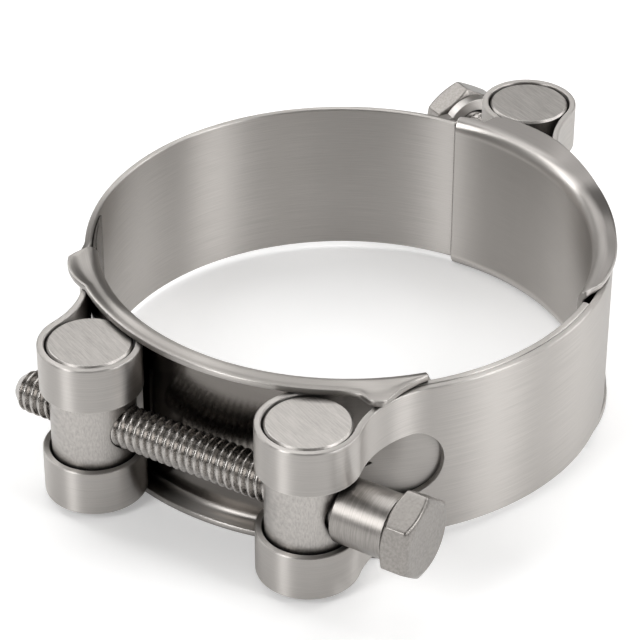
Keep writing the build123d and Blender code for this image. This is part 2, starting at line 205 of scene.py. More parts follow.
def brushed_lines(tree, split, radial):
    """Noise in lines round the Z axis; radial says how many lines to the mm lie side by side on a flange."""
    turn = add(tree, "ShaderNodeMath", {"operation": "ARCTAN2"}, i0=split.outputs["Y"], i1=split.outputs["X"])
    along = add(tree, "ShaderNodeMath", {"operation": "MULTIPLY"}, i0=turn.outputs[0],
                i1=brush_r / line_length)
    flat = add(tree, "ShaderNodeCombineXYZ", i0=split.outputs["X"], i1=split.outputs["Y"])
    radius = add(tree, "ShaderNodeVectorMath", {"operation": "LENGTH"}, i0=flat.outputs[0])
    out = add(tree, "ShaderNodeMath", {"operation": "MULTIPLY"}, i0=radius.outputs["Value"], i1=radial / mm)
    up = add(tree, "ShaderNodeMath", {"operation": "MULTIPLY"}, i0=split.outputs["Z"], i1=1 / line_width)
    spot = add(tree, "ShaderNodeCombineXYZ", i0=along.outputs[0], i1=out.outputs[0], i2=up.outputs[0])
    lines = add(tree, "ShaderNodeTexNoise", Vector=spot.outputs[0], Scale=1.0, Detail=3.0, Roughness=0.65)
    return lines.outputs["Fac"]


print("brushed lines across the strip:", round(25 * mm / line_width))

# %% [markdown]
# ## A finish that changes with height, with painted light
# The bridges are pressed from the same strip, and the press leaves their wall, fold and flange with
# different finishes. Their colours also step with height as painted light: the front wall and the rear
# flange are darkened as painted shade, and the rear fold is made paler as a painted highlight. Each part
# could have its own material and its own faces. But the clamp is symmetric about its middle plane, so the
# height above or below that plane tells the parts apart, and one material serves the whole piece.

# %% Step a finish at each height
full_brushing = 0.95
blend_half = 0.25


def step_levels(tree, height, levels, tint, shade, rough):
    """Changes colour, roughness and share of brushing within the half height of each level."""
    brushing = full_brushing
    for half, level_base, level_rough, level_brushing in reversed(levels):
        share = add(tree, "ShaderNodeMapRange", i0=height, i1=(half - blend_half) * mm,
                    i2=(half + blend_half) * mm).outputs[0]
        plain = add(tree, "ShaderNodeVectorMath", {"operation": "SCALE"}, i0=colour(level_base)[:3],
                    Scale=tint).outputs[0]
        shade = add(tree, "ShaderNodeMix", {"data_type": "VECTOR"}, i0=share, i4=plain, i5=shade).outputs[1]
        rough = add(tree, "ShaderNodeMix", {"data_type": "FLOAT"}, i0=share, i2=level_rough,
                    i3=rough).outputs[0]
        brushing = add(tree, "ShaderNodeMix", {"data_type": "FLOAT"}, i0=share, i2=level_brushing,
                       i3=brushing).outputs[0]
    return shade, rough, brushing


print("one finish passes into the next within, mm:", 2 * blend_half)

# %% [markdown]
# ## The brushed material
# The lines change three things a little: how dark, how rough and how deep the surface is. A broad, faint
# cloud keeps the roughness from looking even. Brushing also smears a reflection across its lines. The
# anisotropic shading does that: its tangent runs round the Z axis, and a quarter of a turn sets the smear
# across it.

# %% Make a brushed strip material
across_lines = 0.25
cloud_size, cloud_share = 16.67 * mm, 0.25
line_smoother, line_rougher, line_darker = 0.06, 0.08, 0.2
line_depth, line_relief = 0.01 * mm, 0.25
strip_edge_r = 0.18 * mm


def strip_metal(name, base, roughness, radial=0, levels=(), lined=1.0):
    """Brushed strip. Levels are (half height in mm, colour, roughness, share of brushing) from the middle
    out, and lined says how strongly the lines show."""
    material, tree, shader = new_metal(name, base, roughness)
    place = add(tree, "ShaderNodeTexCoord").outputs["Object"]
    split = add(tree, "ShaderNodeSeparateXYZ", i0=place)
    height = add(tree, "ShaderNodeMath", {"operation": "ABSOLUTE"}, i0=split.outputs["Z"]).outputs[0]
    lines = brushed_lines(tree, split, radial)
    cloud = add(tree, "ShaderNodeTexNoise", Vector=place, Scale=1 / cloud_size, Detail=2.0).outputs["Fac"]
    mixed = add(tree, "ShaderNodeMix", {"data_type": "FLOAT"}, i0=cloud_share, i2=lines, i3=cloud)
    rough = add(tree, "ShaderNodeMapRange", i0=mixed.outputs[0], i1=noise_low, i2=noise_high,
                i3=roughness - line_smoother * lined, i4=roughness + line_rougher * lined).outputs[0]
    tint = add(tree, "ShaderNodeMapRange", i0=lines, i1=noise_low, i2=noise_high, i3=1 - line_darker * lined,
               i4=1.0).outputs[0]
    shade = add(tree, "ShaderNodeVectorMath", {"operation": "SCALE"}, i0=colour(base)[:3],
                Scale=tint).outputs[0]
    shade, rough, brushing = step_levels(tree, height, levels, tint, shade, rough)
    tree.links.new(rough, shader.inputs["Roughness"])
    shader.inputs["Anisotropic"].default_value = full_brushing
    if levels:
        tree.links.new(brushing, shader.inputs["Anisotropic"])
    shader.inputs["Anisotropic Rotation"].default_value = across_lines
    tangent = add(tree, "ShaderNodeTangent", {"direction_type": "RADIAL", "axis": "Z"})
    tree.links.new(tangent.outputs[0], shader.inputs["Tangent"])
    dress(tree, shader, shade, lines, line_depth, line_relief, strip_edge_r)
    return material


print("a brushed surface is up to", line_darker, "darker in its lines")

# %% Make the three strip metals
flange_lines = 6  # to the mm, again coarser than real ones
front_wall_half = 12.0
rear_wall_half, rear_fold_half = 11.4, 13.45

# The bands: warm light grey, with long soft highlights that run up and down across the lines.
strap_metal = strip_metal("stainless strip, brushed lengthwise", "#C4C0BC", 0.40)
# The front bridge: a wall straight from the mill, almost a mirror, its dark colour a painted shade, under
# brushed flanges.
front_metal = strip_metal("stainless bridge, mill finish wall with painted shade", "#ACA8A4", 0.36, radial=flange_lines,
                          levels=[(front_wall_half, "#76726E", 0.17, 0.3)], lined=0.7)
# The rear bridge: a satin wall, a fold that the press has polished and whose paler colour is a painted
# highlight, and a plain flange whose darker colour is a painted shade.
rear_metal = strip_metal("stainless bridge, satin", "#94908D", 0.42, radial=flange_lines,
                         levels=[(rear_wall_half, "#B6B2AE", 0.40, full_brushing),
                                 (rear_fold_half, "#C6C2BE", 0.28, full_brushing)], lined=0.35)
print("strip materials:", strap_metal.name, "|", front_metal.name, "|", rear_metal.name)

# %% [markdown]
# ## Turned, ground and blasted steel
# The barrels are cut from turned bar and their ends are ground in one direction. The sleeve is a turned
# tube. The screws are cold-formed: a blasted head, and a thread rolled between dies that burnish it. All
# of them are one noise in lines, mixed with a speckle, so one function makes them. A grinding line is
# really some 0.03 mm wide and a blasted speck 0.1 mm: both are drawn coarser, to show at this distance.

# %% Make a ground or blasted material
grind_width, grind_length = 0.1818 * mm, 2.857 * mm
barrel_line_height = 0.6667 * mm
speck_size = 0.4 * mm
grain_smoother, grain_rougher = 0.05, 0.08
grain_dark, grain_light = 0.70, 1.04
grain_depth, grain_relief = 0.015 * mm, 0.3
ground_edge_r = 0.15 * mm


def ground_metal(name, base, roughness, direction, grain, upright=barrel_line_height, gap=painted_shade_gap,
                 relief=grain_relief):
    """Steel with lines along a direction of the XY plane, upright high; grain is the share of speckle."""
    material, tree, shader = new_metal(name, base, roughness)
    place = add(tree, "ShaderNodeTexCoord").outputs["Object"]
    turned = add(tree, "ShaderNodeMapping", {"vector_type": "TEXTURE"}, Vector=place,
                 Rotation=(0, 0, math.radians(direction)), Scale=(grind_length, grind_width, upright))
    lines = add(tree, "ShaderNodeTexNoise", Vector=turned.outputs[0], Scale=1.0, Detail=3.0, Roughness=0.6)
    speck = add(tree, "ShaderNodeTexNoise", Vector=place, Scale=1 / speck_size, Detail=2.5)
    both = add(tree, "ShaderNodeMix", {"data_type": "FLOAT"}, i0=grain, i2=lines.outputs["Fac"],
               i3=speck.outputs["Fac"]).outputs[0]
    rough = add(tree, "ShaderNodeMapRange", i0=both, i1=noise_low, i2=noise_high,
                i3=roughness - grain_smoother, i4=roughness + grain_rougher)
    tree.links.new(rough.outputs[0], shader.inputs["Roughness"])
    tint = add(tree, "ShaderNodeMapRange", i0=both, i1=noise_low, i2=noise_high, i3=grain_dark,
               i4=grain_light).outputs[0]
    shade = add(tree, "ShaderNodeVectorMath", {"operation": "SCALE"}, i0=colour(base)[:3],
                Scale=tint).outputs[0]
    dress(tree, shader, shade, both, grain_depth, relief, ground_edge_r, gap)
    return material


barrel_low, barrel_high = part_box("nut_barrel")
print("grinding lines across a barrel's end:", round((barrel_high.x - barrel_low.x) / grind_width))

# %% Make the four ground and blasted metals
thread_gap = 0.7 * mm

# The barrels: pale ends with a fine slanting grain, and sides with one wide, quiet highlight.
barrel_metal = ground_metal("turned steel, ends ground", "#B9B5B1", 0.36, -25, grain=0.15)
# The heads: matt and evenly speckled, so that each flat has one tone.
screw_metal = ground_metal("stainless screw, blasted head", "#9C9894", 0.34, 0, grain=0.9, gap=thread_gap)
# The threads: bright, burnished flanks, on which every turn catches a short glint.
thread_metal = ground_metal("rolled thread, bright", "#B6B2AE", 0.25, 0, grain=0.9, gap=thread_gap,
                            relief=0.07)
# The sleeve: a hard bright band along it, crossed by fine lines that run round it.
sleeve_metal = ground_metal("turned steel tube, brushed round", "#9E9A96", 0.33, 90, grain=0.1,
                            upright=grind_length)
turned_metals = (barrel_metal, screw_metal, thread_metal, sleeve_metal)
print("turned materials:", " | ".join(metal.name for metal in turned_metals))

# %% [markdown]
# ## The pieces that keep their CAD solids
# Barrels, sleeve and the folded lug at the rear are plain forms, so their solids are shown as they are.
# The other nodes get their metal too, because they stay in the model under the pieces that replace them.

# %% Give the CAD nodes their materials
node_metal = {
    "left_band": strap_metal,
    "right_band": strap_metal,
    "rear_lug": strap_metal,
    "front_bridge": front_metal,
    "rear_bridge": rear_metal,
    "nut_barrel": barrel_metal,
    "plain_barrel": barrel_metal,
    "rear_barrel": barrel_metal,
    "sleeve": sleeve_metal,
    "front_bolt": screw_metal,
    "rear_bolt": screw_metal,
}
for name, material in node_metal.items():
    data = frame["nodes"][name].data
    data.materials.clear()
    data.materials.append(material)
print("nodes dressed:", len(node_metal))

# %% [markdown]
# ## The folded strip
# Each half band is one strip, bent round the ring and folded back round its barrels. A flat mesh could be
# bent by modifiers, but a path of arcs gives each fold its true radius and keeps the strip's thickness.
# From here to the bridges all lengths are in mm. The barrels' centres come from the joints of the frame,
# and the radii are those of the strip's middle line: two layers lie one over the other, so there are two
# of them.

# %% Set out the strip
strip_t, strip_half = 1.0, 12.5
loop_r = 6.95
left_in, left_out = 38.05, 39.1
right_in, right_out = 38.35, 39.4
rear_in, rear_out = 38.05, 39.1
front_bend, rear_bend = 15.0, 20.0
centre_of = {j["name"]: (Vector(j["pos_m"]) / mm).xy for j in frame["joints"] if "pos_m" in j}
left_c, right_c, rear_c = (centre_of[name] for name in ("nut_pivot", "plain_pivot", "rear_turn"))
ring_c = Vector((0, 0))
print("barrel centres, mm:", [[round(v, 2) for v in c] for c in (left_c, right_c, rear_c)])

# %% Define the curves of a path
ring_step, loop_step, bend_step, window_step = 0.3, 0.25, 0.15, 0.12


def polar(r, deg):
    """Point at radius r and azimuth deg."""
    return Vector((r * math.cos(math.radians(deg)), r * math.sin(math.radians(deg))))


def heading(a, b):
    """Azimuth of b seen from a, in degrees."""
    return math.degrees(math.atan2(b.y - a.y, b.x - a.x))


def arc(centre, r, deg0, deg1, step=ring_step):
    """Points of an arc round a centre."""
    count = max(4, round(abs(math.radians(deg1 - deg0)) * r / step))
    return [centre + polar(r, deg0 + (deg1 - deg0) * i / count) for i in range(count + 1)]


def joggle(r0, deg0, r1, deg1, step=ring_step):
    """Points of a soft step from one radius of the ring to another."""
    count = max(8, round(abs(math.radians(deg1 - deg0)) * r0 / step))
    shares = [i / count for i in range(count + 1)]
    return [polar(r0 + (r1 - r0) * t * t * (3 - 2 * t), deg0 + (deg1 - deg0) * t) for t in shares]


print("points of a loop:", len(arc(ring_c, loop_r, 0, 360, loop_step)))

# %% [markdown]
# ## Where the strip leaves the ring
# Between ring and loop the outer layer makes a hollow bend that touches both, and the returned layer runs
# straight. Both tangent points follow from triangles between the ring's centre and the loop's.

# %% Work out the tangent points
def hollow_bend(ring_r, centre, deg, bend_r, side):
    """Centre and azimuth of the hollow bend from the ring to the loop round a centre at azimuth deg."""
    far, near, off = ring_r + bend_r, loop_r + bend_r, centre.length
    turn = math.degrees(math.acos((off ** 2 + far ** 2 - near ** 2) / (2 * off * far)))
    return polar(far, deg + side * turn), deg + side * turn


def leg_turn(ring_r, centre):
    """Angle at the ring's centre between a loop's centre and where its straight leg meets the ring."""
    return math.degrees(math.acos((ring_r + loop_r) / centre.length))


left_deg = heading(ring_c, left_c) + 360
left_leg = left_deg - leg_turn(left_in, left_c)
left_bend_c, left_bend_deg = hollow_bend(left_out, left_c, left_deg, front_bend, -1)
right_deg = heading(ring_c, right_c)
right_leg = right_deg + leg_turn(right_in, right_c)
right_bend_c, right_bend_deg = hollow_bend(right_out, right_c, right_deg, front_bend, 1)
rear_deg = heading(ring_c, rear_c)
rear_leg = rear_deg - leg_turn(rear_in, rear_c)
rear_bend_c, rear_bend_deg = hollow_bend(rear_out, rear_c, rear_deg, rear_bend, -1)
bends = (left_bend_deg, right_bend_deg, rear_bend_deg)
print("bends leave the ring at, deg:", [round(deg, 1) for deg in bends])

# %% Lay the path of the left half band
seam_deg = 93.6
left_step0, left_step1 = 213, 220
left_end_deg = 221.5

left_path = arc(ring_c, left_in, seam_deg, left_step0)
left_path += joggle(left_in, left_step0, left_out, left_step1)
left_path += arc(ring_c, left_out, left_step1, left_bend_deg, window_step)
left_path += arc(left_bend_c, front_bend, left_bend_deg - 180, heading(left_bend_c, left_c), bend_step)
left_path += arc(left_c, loop_r, heading(left_c, left_bend_c) % 360, left_leg + 180, loop_step)
left_path += arc(ring_c, left_in, left_leg, left_end_deg)
print("points along the left half band:", len(left_path))

# %% Lay the path of the right half band
right_end_deg, rear_end_deg = 5.0, 27
window_end_deg = -30
right_step0, right_step1 = -6, 25

right_path = arc(ring_c, right_in, right_end_deg, right_leg)
right_path += arc(right_c, loop_r, right_leg - 180, heading(right_c, right_bend_c), loop_step)
right_path += arc(right_bend_c, front_bend, heading(right_bend_c, right_c) % 360, right_bend_deg + 180,
                  bend_step)
right_path += arc(ring_c, right_out, right_bend_deg, window_end_deg, window_step)
right_path += arc(ring_c, right_out, window_end_deg, right_step0)
right_path += joggle(right_out, right_step0, rear_out, right_step1)
right_path += arc(ring_c, rear_out, right_step1, rear_bend_deg)
right_path += arc(rear_bend_c, rear_bend, rear_bend_deg + 180, heading(rear_bend_c, rear_c) % 360)
right_path += arc(rear_c, loop_r, heading(rear_c, rear_bend_c), rear_leg + 180, loop_step)
right_path += arc(ring_c, rear_in, rear_leg, rear_end_deg)
print("points along the right half band:", len(right_path))

# %% [markdown]
# ## The slots for the screws
# A slot through each loop lets the screw reach its barrel. On the outer layer it runs on along the ring
# and ends round, which is the window behind the screw's head. It could be cut out with a boolean, but that
# leaves ragged faces on a curved strip. Here the slot is a height at each point of the path, below which
# there is no metal.

# %% Define the slots
slot_half, slot_from, slot_deg = 5.3, 38.58, 46.3
slot_span_deg, slot_round_rad = 34, 0.5
rear_slot_from = 44.0


def front_opening(p):
    """Half height of the right band's front slot at a point: a round end on the ring, then the loop."""
    if p.length < slot_from:
        return 0.0
    past = math.radians(-heading(ring_c, p) % 360 - slot_deg)
    if past > math.radians(slot_span_deg) or past < -slot_round_rad:
        return 0.0
    if past >= 0:
        return slot_half
    return math.sqrt(max(0.0, slot_half ** 2 - (p.length * math.sin(past)) ** 2))


def left_opening(p):
    """Half height of the left band's slot, which is the right band's front slot seen in a mirror."""
    return front_opening(Vector((-p.x, p.y)))


def right_opening(p):
    """Half height of the right band's slots: the front one, and a plain one round the rear loop."""
    if p.y > 0:
        return slot_half if p.length > rear_slot_from else 0.0
    return front_opening(p)


print("points with a slot, left and right:", sum(left_opening(p) > 0 for p in left_path),
      sum(right_opening(p) > 0 for p in right_path))

# %% [markdown]
# ## Sweeping the strip
# The upper and lower halves of the section are swept side by side. Where there is no slot they meet in the
# middle plane, and where there is one they part. Extra points close to each rounded rim keep the smooth
# shading of the flat faces flat.

# %% Sweep a strip along a path
rim_r, slot_rim = 0.22, 0.12
rim_share = 0.6  # of half the thickness, the most that a rim takes where the strip is thin
support = 0.15
rim_steps = 4
end_inset = 0.1
end_ring = 0.4  # of a step, where an extra ring stands behind each end
same_spot = 0.01


def half_section(low, top, half_t, edge):
    """Upper half of the strip's section as points (across, height), from low up to its rounded top edge."""
    soft = min(slot_rim, low)
    rise = [(half_t, low + soft), (half_t, low + soft + support), (half_t, top - edge - support),
            (half_t, top - edge)]
    for k in range(1, rim_steps + 1):
        turn = math.radians(90 * k / rim_steps)
        rise.append((half_t - edge * (1 - math.cos(turn)), top - edge * (1 - math.sin(turn))))
    outer = [(half_t - soft, low)] + rise
    return [(-x, z) for x, z in outer] + [(x, z) for x, z in reversed(outer)]


def sweep_strip(mesh, path, top, opening=lambda p: 0.0, edge=rim_r, outer=0.0):
    """Sweeps the strip's section along a path; opening gives the half height of a slot at a point.
    Where outer is given, the outer face lies at that radius and the path says how thick the strip is."""
    path = [p for i, p in enumerate(path) if i == 0 or (p - path[i - 1]).length > same_spot]
    near, far = path[0].lerp(path[1], end_ring), path[-1].lerp(path[-2], end_ring)
    path = [path[0], near] + path[1:-1] + [far, path[-1]]
    lows = [opening(p) for p in path]
    for side in (1, -1):
        rings = []
        for i, p in enumerate(path):
            ahead = (path[min(i + 1, len(path) - 1)] - path[max(i - 1, 0)]).normalized()
            across = Vector((-ahead.y, ahead.x))
            half_t = outer - p.length if outer else strip_t / 2
            inset = min(end_inset, half_t / 3) if i in (0, len(path) - 1) else 0.0
            rim = min(edge, half_t * rim_share) - inset
            section = half_section(lows[i], top - inset, half_t - inset, rim)
            rings.append([mesh.verts.new((*(p + across * x), side * z)) for x, z in section])
        for i, (one, two) in enumerate(zip(rings, rings[1:])):
            closed = max(lows[i], lows[i + 1]) == 0
            for k in range(len(one) - closed):
                after = (k + 1) % len(one)
                mesh.faces.new((one[k], one[after], two[after], two[k]))
        mesh.faces.new(rings[0])
        mesh.faces.new(rings[-1])


print("points of a closed section:", 2 * len(half_section(0.0, strip_half, strip_t / 2, rim_r)) - 2)

# %% [markdown]
# ## From a mesh to a piece
# Points that fall together are welded, so that a piece is one closed skin, and folds sharper than a limit
# stay crisp while the rest is shaded smooth. Each piece rides on a moving body of the frame and hides the
# CAD solids it stands for.

# %% Build the half bands
weld, sliver = 0.0005 * mm, 0.0002 * mm
strip_sharp_deg, screw_sharp_deg = 35, 50


def new_piece(name, mesh, material, body, replaced, sharp_deg=strip_sharp_deg, scale=1.0):
    """Turns a bmesh into a piece that rides on a body and stands for CAD nodes."""
    bmesh.ops.remove_doubles(mesh, verts=mesh.verts, dist=weld / scale)
    bmesh.ops.dissolve_degenerate(mesh, edges=mesh.edges, dist=sliver / scale)
    bmesh.ops.recalc_face_normals(mesh, faces=mesh.faces)
    bmesh.ops.scale(mesh, vec=(scale, scale, scale), verts=mesh.verts)
    data = bpy.data.meshes.new(name)
    mesh.to_mesh(data)
    mesh.free()
    data.materials.append(material)
    data.shade_smooth()
    data.set_sharp_from_angle(angle=math.radians(sharp_deg))
    piece = bpy.data.objects.new(name, data)
    scene.collection.objects.link(piece)
    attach(piece, body)
    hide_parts(*replaced)
    print(name, "faces:", len(data.polygons))
    return piece


for name, path, opening, body in (("left_strip", left_path, left_opening, "left_half"),
                                  ("right_strip", right_path, right_opening, "right_half")):
    mesh = bmesh.new()
    sweep_strip(mesh, path, strip_half, opening)
    piece = new_piece(name, mesh, strap_metal, body, [name.replace("strip", "band")], scale=mm)

# %% [markdown]
# ## The bridges
# Under each closure a thin channel spans the gap in the band, so that the hose is pressed all round. Its
# edges are folded outward, and the flanges widen into a lobe, a fish-tail or a broad lip. The flange's
# outline is drawn as arcs, each through three points given as reach beyond the wall and azimuth. A
# subdivided cage could follow it too, but here every width stays a number that can be measured.

# %% Set out the bridges
bridge_mid_r = 37.0
flange_z = 13.15
front_fold, rear_fold = 1.2, 1.6
front_dish, rear_dish = 0.14, 0.0
front_outline = [(0.7, 218.0), (2.4, 219.4), (4.1, 221.3), (4.45, 224.6), (3.35, 233.0), (3.3, 266.0),
                 (3.4, 298.5), (3.7, 301.6), (4.3, 303.9), (4.85, 304.6), (5.45, 305.15), (6.25, 307.2),
                 (5.55, 309.2), (3.3, 312.6), (1.5, 318.4)]
rear_outline = [(1.2, 93.05), (1.6, 90.3), (1.7, 86.8), (3.0, 86.4), (4.2, 85.9), (4.9, 83.6), (5.2, 79.0),
                (5.3, 73.5), (5.1, 68.0), (4.2, 59.1), (3.5, 50.6), (3.2, 40.3), (3.0, 28.8), (2.9, 19.0),
                (2.3, 11.0), (1.6, 8.6), (0.8, 6.5)]


def through(p, q, r):
    """Points of the arc through three points."""
    a, b = q - p, r - p
    cross = 2 * (a.x * b.y - a.y * b.x)
    u = Vector((b.y * a.length_squared - a.y * b.length_squared,
                a.x * b.length_squared - b.x * a.length_squared)) / cross
    centre = p + u
    deg0, deg1 = heading(centre, p), heading(centre, r)
    way = 1 if cross > 0 else -1
    span = (way * (deg1 - deg0)) % 360
    return arc(centre, u.length, deg0, deg0 + way * span, loop_step)


def stations(outline):
    """Reach and azimuth at close steps along an outline of arcs, each through three of its points."""
    spots = [polar(bridge_mid_r + reach, deg) for reach, deg in outline]
    points = []
    for p, q, r in zip(spots[:-2:2], spots[1:-1:2], spots[2::2]):
        points += through(p, q, r)
    return [(p.length - bridge_mid_r, heading(ring_c, p) % 360) for i, p in enumerate(points)
            if i == 0 or (p - points[i - 1]).length > same_spot]


print("outline points:", len(stations(front_outline)), len(stations(rear_outline)))

# %% [markdown]
# ## The channel's section
# The section has the same count of points everywhere, so that neighbouring sections can be joined point by
# point: wall, fold, flange and rounded tip. Where the reach is less than the fold, the fold stops early
# and the flange's points fall together, to be welded later. The front bridge's flange is dished a little
# by the press, which gives it a soft highlight along its middle.

# %% Define the channel's section
fold_steps = 8
tip_r, folded_tip_r, least_tip_r = 0.25, 0.18, 0.02
wall_support, flange_support = 0.25, 0.12
tip_share, dish_share = 0.6, 0.05  # of the flange's width, at most
inner_share, outer_share = 0.2, 0.9  # of a narrow flange's width, where its extra points stand
dish_shape = ((0.30, 0.7), (0.45, 1), (0.58, 1), (0.74, 0.3))
tip_marks = ((0.29, 0.29), (0, 1), (0, -1), (0.29, -0.29))


def channel_half(reach, fold, deep):
    """Upper half of a channel's middle line: points with their normals, and the rounded tip's place."""
    wall_half = flange_z - fold
    corner = bridge_mid_r + fold
    flat = max(0.0, reach - fold)
    tip_turn = 90.0 if flat else math.degrees(math.acos(1 - reach / fold))
    tip = min(tip_r, max(least_tip_r, flat * tip_share)) if flat else folded_tip_r
    last = tip_turn - (0 if flat else math.degrees(tip / fold))
    line = [(bridge_mid_r, wall_half - wall_support, 1.0, 0.0)]
    for k in range(fold_steps + 1):
        turn = math.radians(last * k / fold_steps)
        c, s = math.cos(turn), math.sin(turn)
        line.append((corner - fold * c, wall_half + fold * s, c, -s))
    run = max(0.0, flat - tip)
    dish = min(deep, run * dish_share)
    marks = [(min(flange_support, run * inner_share), 0)]
    marks += [(run * share, sunk) for share, sunk in dish_shape]
    marks += [(max(run - support, run * outer_share), 0), (run, 0)]
    for out, sunk in marks:
        line.append((corner + out, flange_z - dish * sunk, 0.0, -1.0) if flat else line[-1])
    c, s = math.cos(math.radians(tip_turn)), math.sin(math.radians(tip_turn))
    end = (corner + flat, flange_z) if flat else (corner - fold * c, wall_half + fold * s)
    return line, end, (c, -s), (s, c), tip


def channel_ring(reach, fold, deep, inset):
    """Closed section of a channel as points (radius, height)."""
    half_t = strip_t / 2 - inset
    line, end, normal, along, tip = channel_half(reach, fold, deep)
    bore = [(r - half_t * nr, z - half_t * nz) for r, z, nr, nz in line]
    back = [(r + half_t * nr, z + half_t * nz) for r, z, nr, nz in line]
    cap = []
    for back_off, side in tip_marks:
        level = half_t - tip * abs(side)
        level = -level if side > 0 else level
        run = -tip * back_off - inset
        cap.append((end[0] + run * along[0] + level * normal[0], end[1] + run * along[1] + level * normal[1]))
    upper = bore + cap + list(reversed(back))
    return upper + [(r, -z) for r, z in reversed(upper)]


print("points of a channel's section:", len(channel_ring(3.3, front_fold, front_dish, 0.0)))

# %% [markdown]
# ## The tongue
# Past the flanges' left end the front bridge runs on under the band as a plain tongue, ground thin towards
# its tip, so that no step presses into the hose. It is swept like the strip, with its outer face on the
# band. At the other end a short lip does the same.

# %% Build the bridges
tongue_outer_r = 37.52
tongue_deg0, tongue_deg1 = 200.5, 219.0
tongue_tip_t = 0.3
tongue_half, tongue_rim = 11.8, 0.4
tongue_steps = 40
lip_deg0, lip_deg1 = 318.0, 319.5
lip_half, lip_rim = 12.1, 0.3


def sweep_channel(mesh, outline, fold, deep):
    """Sweeps a channel round the ring along its outline; its flanges are dished by the depth deep."""
    marks = stations(outline)
    marks = [marks[0]] + marks + [marks[-1]]
    nudge = math.degrees(end_inset / bridge_mid_r)
    way = 1 if marks[-1][1] > marks[0][1] else -1
    rings = []
    for i, (reach, deg) in enumerate(marks):
        inset = end_inset if i in (0, len(marks) - 1) else 0.0
        deg += way * nudge * ((i == 1) - (i == len(marks) - 2))
        rings.append([mesh.verts.new((*polar(r, deg), z)) for r, z in channel_ring(reach, fold, deep, inset)])
    for one, two in zip(rings, rings[1:]):
        for k in range(len(one)):
            after = (k + 1) % len(one)
            mesh.faces.new((one[k], one[after], two[after], two[k]))
    mesh.faces.new(rings[0])
    mesh.faces.new(rings[-1])


mesh = bmesh.new()
sweep_channel(mesh, front_outline, front_fold, front_dish)
tongue = []
for i in range(tongue_steps + 1):
    share = i / tongue_steps
    thick = tongue_tip_t + (strip_t - tongue_tip_t) * share
    tongue.append(polar(tongue_outer_r - thick / 2, tongue_deg0 + (tongue_deg1 - tongue_deg0) * share))
sweep_strip(mesh, tongue, tongue_half, edge=tongue_rim, outer=tongue_outer_r)
sweep_strip(mesh, arc(ring_c, bridge_mid_r, lip_deg0, lip_deg1), lip_half, edge=lip_rim)
front_channel = new_piece("front_channel", mesh, front_metal, "left_half", ["front_bridge"], scale=mm)
mesh = bmesh.new()
sweep_channel(mesh, rear_outline, rear_fold, rear_dish)
rear_channel = new_piece("rear_channel", mesh, rear_metal, "right_half", ["rear_bridge"], scale=mm)

# %% [markdown]
# ## The screws
# Both are quarter-inch screws with 20 turns of thread to the inch. The thread could be a bump, but its
# outline shows against the dark wall, so it is a real helix: rings of points along the screw, whose radius
# at each point follows the thread's flank there.

# %% Describe the thread
thread_pitch = 25.4 / 20 * mm
thread_r = 6.35 / 2 * mm
core_r = 2.48 * mm
flank_slope, root_flat = 1.35, 0.08
points_round, rings_per_turn = 64, 16
cone_len, cone_r = 1.6 * mm, 1.8 * mm
head_overlap = 0.01 * mm


def thread_radius(phase):
    """Radius at a phase of the pitch: narrow flat root, straight flanks and a narrow flat crest."""
    share = abs((phase % 1.0) - 0.5) * 2
    return core_r + (thread_r - core_r) * min(1.0, max(0.0, flank_slope * share - root_flat))


def shank_rings(reach, plain):
    """Rings of points from the coned point at -reach up to the head; the last plain length has no thread."""
    rows = int(reach / thread_pitch * rings_per_turn)
    rings = []
    for row in range(rows + 1):
        z = -reach + (reach + head_overlap) * row / rows
        cone = cone_r + (thread_r - cone_r) * (z + reach) / cone_len
        smooth = min(1.0, max(0.0, (z + plain) / thread_pitch))
        ring = []
        for k in range(points_round):
            part = k / points_round
            r = thread_radius(z / thread_pitch - part)
            r = min(cone, r + (thread_r - r) * smooth)
            ring.append((r * math.cos(2 * math.pi * part), r * math.sin(2 * math.pi * part), z))
        rings.append(ring)
    return rings


loop_gap = (right_c - left_c).length - 2 * (loop_r + strip_t / 2)
print("thread turns between the two loops:", round(loop_gap * mm / thread_pitch, 1))

# %% [markdown]
# ## The head
# The head is cold-formed: a hexagon with both faces chamfered at 30 degrees, so its flats end in shallow
# curves. It is lofted through rings as well. A ring's height rises where the hexagon is wider than the
# flat face, and that alone draws the curves.

# %% Describe the head
head_af, head_h = 11.1 * mm, 4.4 * mm
head_face_r = 5.2 * mm
head_slope = math.tan(math.radians(30))
corner_r, corner_points = 0.35 * mm, 7
flat_points = 12
head_soft, head_keep = 0.10 * mm, 0.30 * mm


def hexagon():
    """Outline of the head with rounded corners, as points (x, y)."""
    points = []
    reach = (head_af - 2 * corner_r) / math.sqrt(3)
    for k in range(6):
        middle, ahead = math.radians(60 * k), math.radians(60 * (k + 1))
        for i in range(corner_points):
            turn = middle + math.radians(-30 + 60 * i / (corner_points - 1))
            points.append((reach * math.cos(middle) + corner_r * math.cos(turn),
                           reach * math.sin(middle) + corner_r * math.sin(turn)))
        here, turn = points[-1], ahead - math.radians(30)
        there = (reach * math.cos(ahead) + corner_r * math.cos(turn),
                 reach * math.sin(ahead) + corner_r * math.sin(turn))
        for i in range(1, flat_points):
            points.append(tuple(here[j] + (there[j] - here[j]) * i / flat_points for j in (0, 1)))
    return points


